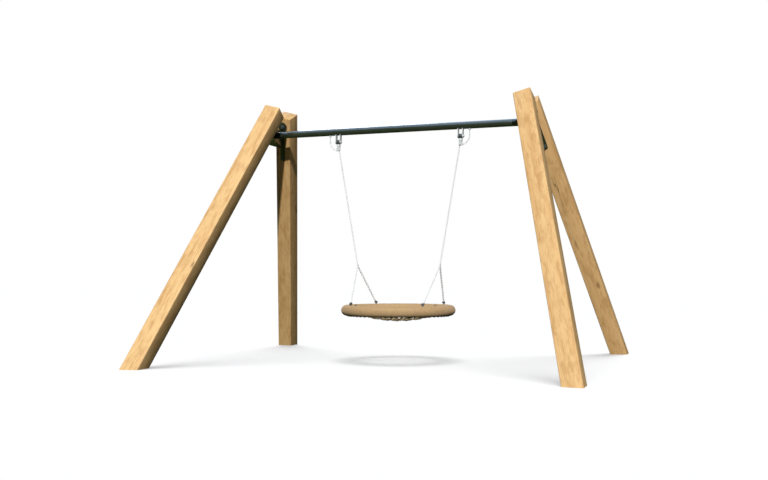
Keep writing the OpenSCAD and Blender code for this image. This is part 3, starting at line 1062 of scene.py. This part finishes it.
@dataclass
class Crossbeam:
    """The steel tube between the heads, its ends cut to the leaning webs."""

    finishes: Finishes
    wall: float = 0.005
    web_t: float = 0.010
    sides: int = 64
    stations: int = 12

    def build(self) -> None:
        """Builds the tube from a ring at each station and a wall by Solidify."""
        radius = PLAN.beam_r
        slope = math.tan(PLAN.lean)
        inner_face = self.web_t / 2 / math.cos(PLAN.lean)
        points = []
        for i in range(self.stations + 1):
            share = 2 * i / self.stations - 1
            for k in range(self.sides):
                angle = 2 * math.pi * k / self.sides
                y, z = radius * math.sin(angle), PLAN.beam_z + radius * math.cos(angle)
                reach = PLAN.foot[0] - z * slope - inner_face
                points.append((share * reach, y, z))
        beam = mesh_piece("crossbeam_tube", points, band_faces(self.stations + 1, self.sides))
        work = bmesh.new()
        work.from_mesh(beam.data)
        for face in work.faces:
            centre = face.calc_center_median()
            away = Vector((0, centre.y, centre.z - PLAN.beam_z))
            if face.normal.dot(away) < 0:
                face.normal_flip()
        work.to_mesh(beam.data)
        work.free()
        wall = beam.modifiers.new("wall", "SOLIDIFY")
        wall.thickness = self.wall
        wall.offset = -1.0
        soften(beam, 40)
        dress(beam, self.finishes.take(SLATE))
        hand_over(beam, Body.FRAME, ["crossbeam"])


@dataclass
class HeadBrackets:
    """The welded heads: a leaning web with an arched foot, and a flange on each leg."""

    finishes: Finishes
    flange_t: float = 0.008
    flange_w: float = 0.056
    ear_r: float = 0.054
    ear_drop: float = 0.102
    strap_drop: float = 0.520
    strap_corner: float = 0.014
    web_t: float = 0.010
    arch_r: float = 0.070
    side_gap: float = 0.008
    weld_gap: float = 0.00015
    below: float = 0.190
    arch_below: float = 0.120
    above: float = 0.070
    bead_r: float = 0.0035
    bead_step: float = 0.0025
    bead_sides: int = 8
    bead_inset: float = 0.004
    ripple: float = 0.14
    ripple_turn: float = 1.9
    bead_end: float = 0.35

    def half_width(self, height: float) -> float:
        """Half the web's width at a height up the leaning plane."""
        edge = (PLAN.leg_w / 2 + self.flange_t + self.weld_gap) / math.cos(PLAN.splay)
        return PLAN.foot[1] - height * math.tan(PLAN.splay) - edge

    def web_outline(self) -> list[tuple[float, float]]:
        """Outline of the web: across, and up the leaning plane."""
        axis = PLAN.beam_z / math.cos(PLAN.lean)
        bottom, arch_top, top = axis - self.below, axis - self.arch_below, axis + self.above
        wide, narrow = self.half_width(bottom), self.half_width(top)
        arch = wide - (self.arch_r + self.side_gap) / math.cos(PLAN.splay)
        spring = arch_top - self.arch_r
        right = arc(arch, spring, self.arch_r, 0, 90, 10)
        left = arc(-arch, spring, self.arch_r, 90, 180, 10)
        outline = [(wide, bottom), (narrow, top), (-narrow, top), (-wide, bottom)]
        return outline + list(reversed(left)) + list(reversed(right))

    def flange_outline(self) -> list[tuple[float, float]]:
        """Outline of a flange in the leg's frame: across the leg, and along it."""
        ear = PLAN.leg_l - self.ear_drop
        low = PLAN.leg_l - self.strap_drop
        half = self.flange_w / 2
        inset = half - self.strap_corner
        join = math.degrees(math.asin(half / self.ear_r))
        round_top = arc(0, ear, self.ear_r, join - 90, 270 - join, 28)
        left = arc(-inset, low + self.strap_corner, self.strap_corner, 180, 270, 5)
        right = arc(inset, low + self.strap_corner, self.strap_corner, 270, 360, 5)
        return round_top + left + right

    def bead(self, start: Vector, end: Vector) -> bpy.types.Object:
        """A rippled weld bead between two points.

        Args:
            start: Where the bead starts.
            end: Where it ends.

        Returns:
            The bead as a mesh object.
        """
        span = (end - start).length
        steps = max(8, int(span / self.bead_step))
        along = (end - start).normalized()
        side = along.orthogonal().normalized()
        other = along.cross(side)
        points = []
        for i in range(steps + 1):
            swell = 1.0 + self.ripple * math.sin(i * self.ripple_turn) if 0 < i < steps else self.bead_end
            reach = self.bead_r * swell
            for k in range(self.bead_sides):
                angle = 2 * math.pi * k / self.bead_sides
                away = (side * math.cos(angle) + other * math.sin(angle)) * reach
                points.append(start + along * span * i / steps + away)
        piece = mesh_piece("bead", points, tube_faces(steps + 1, self.bead_sides))
        outward(piece)
        return piece

    def build(self) -> None:
        """Builds the webs, flanges and weld beads of both heads."""
        coat = self.finishes.take(SLATE)
        stand = Matrix(((0, 0, 1, 0), (1, 0, 0, 0), (0, 1, 0, 0), (0, 0, 0, 1)))
        lie = turn(math.pi / 2, "X")
        axis = PLAN.beam_z / math.cos(PLAN.lean)
        for side in Side:
            mark = side.label
            web = plate(f"head_web_{mark}_plate", self.web_outline(), self.web_t)
            outward(web)
            bevel(web, 0.0012)
            settle(web)
            place(web, corner(side) @ leg_plane() @ stand)
            soften(web)
            dress(web, coat)
            hand_over(web, Body.FRAME, [f"head_web_{mark}"])
            beads = []
            low, high = axis - self.below + self.bead_inset, axis + self.above - self.bead_inset
            for across in (-1, 1):
                for face in (-1, 1):
                    x = face * (self.web_t / 2 + self.bead_r * 0.3)
                    start = Vector((x, across * (self.half_width(low) - self.bead_r * 0.6), low))
                    end = Vector((x, across * (self.half_width(high) - self.bead_r * 0.6), high))
                    beads.append(self.bead(start, end))
            welds = joined(f"head_welds_{mark}", beads)
            place(welds, corner(side) @ leg_plane())
            soften(welds, 60)
            dress(welds, self.finishes.take(WELD))
            hand_over(welds, Body.FRAME)
            for end in End:
                name = f"head_flange_{end.label}_{mark}"
                flange = plate(name + "_plate", self.flange_outline(), self.flange_t)
                outward(flange)
                bevel(flange, 0.0015)
                settle(flange)
                out = shift(y=-PLAN.leg_w / 2 - self.flange_t / 2)
                place(flange, corner(side, end) @ leg_frame() @ out @ lie)
                soften(flange)
                dress(flange, coat)
                hand_over(flange, Body.FRAME, [name])


@dataclass
class Chains:
    """The load chains and the safety chains, each a row of interlocked links."""

    finishes: Finishes
    safety_wire: float = 0.005
    safety_pitch: float = 0.0218
    safety_links: int = 6
    eye_dx: float = 0.096
    fork_ear: tuple[float, float] = (0.024, -0.046)
    arc_turn: float = math.radians(72)
    end_steps: int = 5
    wire_sides: int = 6

    def link(self, wire: float, in_l: float) -> bpy.types.Object:
        """One link of few faces."""
        path = stadium(in_l, PLAN.link_in_w, wire, self.end_steps)
        return wire_loop("link", path, wire / 2, self.wire_sides)

    def finished(self, name: str, source: bpy.types.Object, places: Sequence[Matrix]) -> bpy.types.Object:
        """Repeats a link at its places and finishes the chain."""
        chain = repeated(name, source, places)
        soften(chain, 80)
        dress(chain, self.finishes.take(CHAIN_ZINC))
        return chain

    def run(self, name: str, count: int, start: Matrix) -> bpy.types.Object:
        """A straight run of links.

        Args:
            name: The piece's name.
            count: The number of links.
            start: Frame of the first link's middle, with -Z down the run.

        Returns:
            The run as one piece.
        """
        places = [start @ shift(z=-i * PLAN.pitch) @ turn(i % 2 * math.pi / 2, "Z") for i in range(count)]
        return self.finished(name, self.link(PLAN.chain_wire, PLAN.link_in_l), places)

    def safety_places(self) -> list[Matrix]:
        """Frames of the right safety chain's links, on a shallow arc from its eye to the fork's ear."""
        tilt = PLAN.sus_tilt
        ear_x, ear_w = self.fork_ear
        catch_x = ear_x * math.cos(tilt) + ear_w * math.sin(tilt)
        catch_z = ear_w * math.cos(tilt) - ear_x * math.sin(tilt) - PLAN.pin_drop
        across = self.eye_dx - catch_x
        start = math.atan2(across, -catch_z) - self.arc_turn / 2
        radius = math.hypot(across, catch_z) / (2 * math.sin(self.arc_turn / 2))
        length = radius * self.arc_turn
        in_l = self.safety_pitch + PLAN.play
        end = in_l / 2 + self.safety_wire / 2
        step = (length - 2 * end) / (self.safety_links - 1)
        places = []
        for i in range(self.safety_links):
            angle = start + (end + i * step) / length * self.arc_turn
            x = PLAN.hanger_x + self.eye_dx - radius * (math.cos(start) - math.cos(angle))
            z = PLAN.axle_z - radius * (math.sin(angle) - math.sin(start))
            places.append(shift(x, 0, z) @ turn(angle, "Y") @ turn(i % 2 * math.pi / 2, "Z"))
        return places

    def build(self) -> None:
        """Builds every chain of both sides."""
        upper = sus_frame() @ shift(z=-PLAN.fork_l - PLAN.bolt_to_link)
        lower = lower_frame() @ shift(z=-PLAN.end_reach)
        for side in Side:
            mark = side.label
            chain = self.run(f"upper_chain_{mark}_links", PLAN.upper_links, corner(side) @ upper)
            hand_over(chain, Body.SWING, [f"upper_chain_{mark}"])
            source = self.link(self.safety_wire, self.safety_pitch + PLAN.play)
            places = [corner(side) @ spot for spot in self.safety_places()]
            chain = self.finished(f"safety_chain_{mark}_links", source, places)
            hand_over(chain, Body.SWING, [f"safety_chain_{mark}"])
            for end in End:
                name = f"lower_chain_{end.label}_{mark}"
                chain = self.run(name + "_links", PLAN.lower_links, corner(side, end) @ lower)
                hand_over(chain, Body.SEAT, [name])


@dataclass
class SeatRing:
    """The ring's rope winding: turns of rope laid side by side round the padded core."""

    finishes: Finishes
    rope_w: float = 0.0086
    samples: int = 4
    section: int = 46
    crown: float = 0.0018
    strands: int = 3
    wrap: float = 8.0

    def build(self) -> None:
        """Builds the winding as one corrugated ring with a true helix of turns."""
        turns = int(2 * math.pi * PLAN.ring_mid / self.rope_w)
        steps = turns * self.samples
        points, marks = [], []
        for i in range(steps):
            lap = i / self.samples
            angle = 2 * math.pi * i / steps
            for k in range(self.section):
                around = k / self.section
                across = (lap - around) % 1.0
                ridge = math.sin(math.pi * across)
                radius = PLAN.ring_r - self.crown * (1 - ridge)
                theta = 2 * math.pi * around
                reach = PLAN.ring_mid + radius * math.cos(theta)
                height = PLAN.ring_z + radius * math.sin(theta)
                points.append((reach * math.cos(angle), reach * math.sin(angle), height))
                along = (math.floor(lap - around) + around) * 2 * math.pi * PLAN.ring_r
                marks.append((along % self.wrap, across / self.strands, ridge))
        faces = [(a, d, c, b) for a, b, c, d in band_faces(steps, self.section, closed=True)]
        ring = mesh_piece("ring_winding", points, faces)
        store(ring, "strand", marks)
        ring.data.shade_smooth()
        dress(ring, self.finishes.take(WINDING))
        hand_over(ring, Body.SEAT, ["ring_rope"])


@dataclass
class SeatNet:
    """The woven rope bowl: two families of ropes, a border rope and lashings to the ring."""

    finishes: Finishes
    rope_r: float = 0.006
    spacing: float = 0.076
    border: float = 0.462
    step: float = 0.007
    lashings: int = 56
    lashing_r: float = 0.0045
    lift: float = 0.0058
    margin: float = 0.03
    rim_wave: float = 0.0015
    wrap_from: float = 158.0
    wrap_by: float = 104.0
    wrap_steps: int = 16
    lead_steps: int = 5
    return_steps: int = 7

    def strand(self, name: str, offset: float, across: bool, parity: int) -> bpy.types.Object | None:
        """One rope of the net, going over and under those that it crosses.

        Args:
            name: The piece's name.
            offset: Its distance from the seat's middle.
            across: Whether it runs along the second diagonal.
            parity: Whether its first crossing is over or under.

        Returns:
            The rope, or nothing where it would be too short.
        """
        if abs(offset) > self.border - self.margin:
            return None
        half = math.sqrt(self.border ** 2 - offset ** 2)
        count = max(6, int(2 * half / self.step))
        diagonal = math.pi / 4 + (math.pi / 2 if across else 0.0)
        path = []
        for i in range(count + 1):
            run = -half + 2 * half * i / count
            x = run * math.cos(diagonal) - offset * math.sin(diagonal)
            y = run * math.sin(diagonal) + offset * math.cos(diagonal)
            wave = math.cos(math.pi * (run / self.spacing - 0.5)) * (1 if parity else -1)
            fade = min(1.0, (half - abs(run)) / self.margin)
            path.append(Vector((x, y, PLAN.net_height(math.hypot(x, y)) + self.lift * wave * fade)))
        return sweep(name, path, self.rope_r)

    def lashing_path(self, angle: float) -> list[Vector]:
        """Centre line of one lashing: from the border rope round the ring's inner and lower side.

        Args:
            angle: Its place round the seat.

        Returns:
            The points, from the border rope to where the end tucks in under the ring.
        """
        out = Vector((math.cos(angle), math.sin(angle), 0))
        along = Vector((-math.sin(angle), math.cos(angle), 0))
        hug = PLAN.ring_r + self.lashing_r * 0.8

        def on_ring(step: int) -> Vector:
            """Point of the lashing on the ring's surface."""
            theta = math.radians(self.wrap_from + self.wrap_by * step / self.wrap_steps)
            height = PLAN.ring_z + hug * math.sin(theta)
            return out * (PLAN.ring_mid + hug * math.cos(theta)) + Vector((0, 0, height))

        inner = self.border - 0.012
        start = out * inner + Vector((0, 0, PLAN.net_height(inner) + 0.012))
        first = on_ring(0)
        path = []
        for i in range(self.lead_steps):
            rise = 0.004 * math.sin(math.pi * i / self.lead_steps)
            path.append(start.lerp(first, i / self.lead_steps) + Vector((0, 0, rise)))
        for i in range(self.wrap_steps + 1):
            path.append(on_ring(i) + along * 0.010 * (i / self.wrap_steps))
        last = path[-1]
        back = out * (self.border + 0.004) + along * 0.020
        back.z = PLAN.net_height(self.border) - 0.010
        for i in range(1, self.return_steps + 1):
            share = i / self.return_steps
            sag = -0.006 * math.sin(math.pi * share)
            path.append(last.lerp(back, share) + Vector((0, 0, sag)))
        return path

    def build(self) -> None:
        """Builds the net, its border and its lashings."""
        ropes = []
        reach = int(self.border / self.spacing) + 1
        for across in (False, True):
            for i in range(-reach, reach):
                offset = (i + 0.5) * self.spacing
                rope = self.strand("strand", offset, across, (i + across) % 2)
                if rope:
                    ropes.append(rope)
        count = int(2 * math.pi * self.border / self.step)
        rim = []
        for i in range(count):
            angle = 2 * math.pi * i / count
            radius = self.border + self.rim_wave * math.sin(angle * self.lashings)
            height = PLAN.net_height(self.border)
            rim.append(Vector((radius * math.cos(angle), radius * math.sin(angle), height)))
        ropes.append(sweep("rim", rim, self.rope_r * 1.2, closed=True))
        net = joined("seat_net_ropes", ropes)
        net.data.shade_smooth()
        dress(net, self.finishes.take(NET))
        hand_over(net, Body.SEAT, ["seat_net"])
        ties = []
        for i in range(self.lashings):
            path = self.lashing_path(2 * math.pi * (i + 0.5) / self.lashings)
            ties.append(sweep("tie", path, self.lashing_r, sides=7, lay=0.035))
        lashing = joined("net_lashings", ties)
        lashing.data.shade_smooth()
        dress(lashing, self.finishes.take(LASHING))
        hand_over(lashing, Body.SEAT)


@dataclass
class KeptHardware:
    """The exact hardware of the frame, which keeps its shape and gets eased edges and finishes."""

    finishes: Finishes

    def build(self) -> None:
        """Gives each kept node its finish and a fine bevel."""
        coats: dict[str, tuple[object, float]] = {
            "leg_screws": (DULL_ZINC, 0.0008),
            "leg_washers": (DULL_ZINC, 0.0005),
            "beam_lock_screws": (ZINC, 0.0004),
            "axle_nuts": (ZINC, 0.0006),
            "bearing_bushes": (BRONZE, 0.0),
            "fork_pins": (ZINC, 0.0005),
            "chain_bolts": (ZINC, 0.0004),
            "shackles": (LUG_STEEL, 0.0),
            "shackle_pins": (LUG_STEEL, 0.0),
            "ring_lugs": (LUG_STEEL, 0.0006),
            "ring_core": (ZINC, 0.0),
            "ring_padding": (FOAM, 0.0),
        }
        for mark in (side.label for side in Side):
            coats[f"hanger_lugs_{mark}"] = (ZINC, 0.0010)
            coats[f"swing_axle_{mark}"] = (ZINC, 0.0006)
            coats[f"safety_eye_{mark}"] = (ZINC, 0.0)
            coats[f"bearing_housing_{mark}"] = (CAST, 0.0010)
            coats[f"hanger_fork_{mark}"] = (ZINC, 0.0008)
            coats[f"delta_link_{mark}"] = (ZINC, 0.0)
        for name, (finish, ease) in coats.items():
            node = frame["nodes"][name]
            dress_node(node, self.finishes.take(finish))
            if ease:
                weld = node.modifiers.new("weld", "WELD")
                weld.merge_threshold = 0.00002
                bevel(node, ease, 2)
            log.info("%s keeps its shape", name)


@dataclass
class Studio:
    """Camera, lights, sky and floor."""

    camera_at: tuple[float, float, float] = (3.28, -9.541, 0.904)
    pitch: float = 0.036
    yaw: float = 0.346
    focal: float = 958 * 36 / 768
    key_from: tuple[float, float, float] = (0.258, -0.820, 0.511)
    fill_from: tuple[float, float, float] = (-0.50, 0.80, 0.45)
    key_power: float = 3.5
    fill_power: float = 1.05
    overhead_power: float = 3.7
    key_spread: float = 1.5
    fill_spread: float = 25.0
    overhead_spread: float = 36.0
    floor_half: float = 40.0
    floor_grey: float = 0.42
    floor_glow: float = 0.46

    def lamp(
        self, name: str, towards: tuple[float, float, float], power: float, spread: float
    ) -> bpy.types.Object:
        """Adds a sun lamp.

        Args:
            name: The lamp's name.
            towards: Direction from the swing to the lamp.
            power: The lamp's strength.
            spread: Its angular width in degrees.

        Returns:
            The lamp.
        """
        sun = bpy.data.lights.new(name, "SUN")
        sun.energy = power
        sun.angle = math.radians(spread)
        lamp = linked(name, sun)
        lamp.rotation_euler = Vector(towards).to_track_quat("Z", "Y").to_euler()
        return lamp

    def link_to_floor(self, lamp: bpy.types.Object, ground: bpy.types.Object, state: str) -> None:
        """Says whether a lamp lights the floor alone, or all but the floor.

        Args:
            lamp: The lamp.
            ground: The floor.
            state: "INCLUDE" for the floor alone, "EXCLUDE" for all but the floor.
        """
        receivers = bpy.data.collections.new(lamp.name + "_receivers")
        receivers.objects.link(ground)
        receivers.collection_objects[0].light_linking.link_state = state
        lamp.light_linking.receiver_collection = receivers

    def sky(self) -> None:
        """A dim soft surround, with a lawn and a bright sky for mirrored rays, and white behind the swing."""
        world = bpy.data.worlds.new("surround")
        bpy.context.scene.world = world
        world.use_nodes = True
        graph = Graph(world.node_tree)
        back = next(n for n in world.node_tree.nodes if n.type == "BACKGROUND")
        output = next(n for n in world.node_tree.nodes if n.type == "OUTPUT_WORLD")
        height = graph.add("SeparateXYZ", {0: graph.add("TexCoord").outputs["Generated"]}).outputs[2]
        above = graph.ramp(height, -0.08, 0.10)
        tint = graph.mix(above, colour(0.034, 0.038, 0.022), colour(0.108, 0.124, 0.150))
        overhead = graph.ramp(height, 0.36, 0.74)
        lawn = graph.mix(above, colour(0.055, 0.095, 0.014), colour(0.050, 0.062, 0.030))
        mirrored = graph.mix(overhead, lawn, colour(1.05, 1.45, 2.05))
        path = graph.add("LightPath")
        seen = graph.mix(path.outputs["Is Glossy Ray"], tint, mirrored)
        graph.tree.links.new(seen, back.inputs["Color"])
        white = graph.add("Background", {"Color": colour(1, 1, 1), "Strength": 1.0})
        sides = {0: path.outputs["Is Camera Ray"], 1: back.outputs[0], 2: white.outputs[0]}
        both = graph.add("MixShader", sides)
        graph.tree.links.new(both.outputs[0], output.inputs["Surface"])

    def floor(self) -> bpy.types.Object:
        """Makes the plain pale floor that takes soft shadows and returns it."""
        far, grey = self.floor_half, self.floor_grey
        corners = [(-far, -far, 0), (far, -far, 0), (far, far, 0), (-far, far, 0)]
        ground = mesh_piece("floor", corners, [(0, 1, 2, 3)])
        material, _, shader = new_material("pale_floor")
        shader.inputs["Base Color"].default_value = colour(grey, grey, grey)
        shader.inputs["Roughness"].default_value = 1.0
        shader.inputs["Specular IOR Level"].default_value = 0.0
        shader.inputs["Emission Color"].default_value = colour(1, 1, 1)
        shader.inputs["Emission Strength"].default_value = self.floor_glow
        dress(ground, material)
        ground.visible_diffuse = False
        ground.visible_glossy = False
        return ground

    def build(self) -> None:
        """Sets the view, the lights and the floor."""
        scene = bpy.context.scene
        scene.view_settings.view_transform = "Standard"
        data = bpy.data.cameras.new("camera")
        data.lens = self.focal
        data.sensor_width = 36
        data.clip_end = 200
        camera = linked("camera", data)
        camera.location = self.camera_at
        camera.rotation_euler = (math.pi / 2 + self.pitch, 0, self.yaw)
        scene.camera = camera
        ground = self.floor()
        up = (0.0, 0.0, 1.0)
        for name, towards, power, spread, state in (
            ("key", self.key_from, self.key_power, self.key_spread, "EXCLUDE"),
            ("fill", self.fill_from, self.fill_power, self.fill_spread, "EXCLUDE"),
            ("overhead", up, self.overhead_power, self.overhead_spread, "INCLUDE"),
        ):
            self.link_to_floor(self.lamp(name, towards, power, spread), ground, state)
        self.sky()


def main() -> None:
    """Builds the swing's sub-assemblies in order."""
    logging.basicConfig(level=logging.INFO, format="%(name)s: %(message)s")
    finishes = Finishes()
    Studio().build()
    TimberLegs(finishes).build()
    Crossbeam(finishes).build()
    HeadBrackets(finishes).build()
    Chains(finishes).build()
    SeatRing(finishes).build()
    SeatNet(finishes).build()
    KeptHardware(finishes).build()


if __name__ == "__main__":
    main()
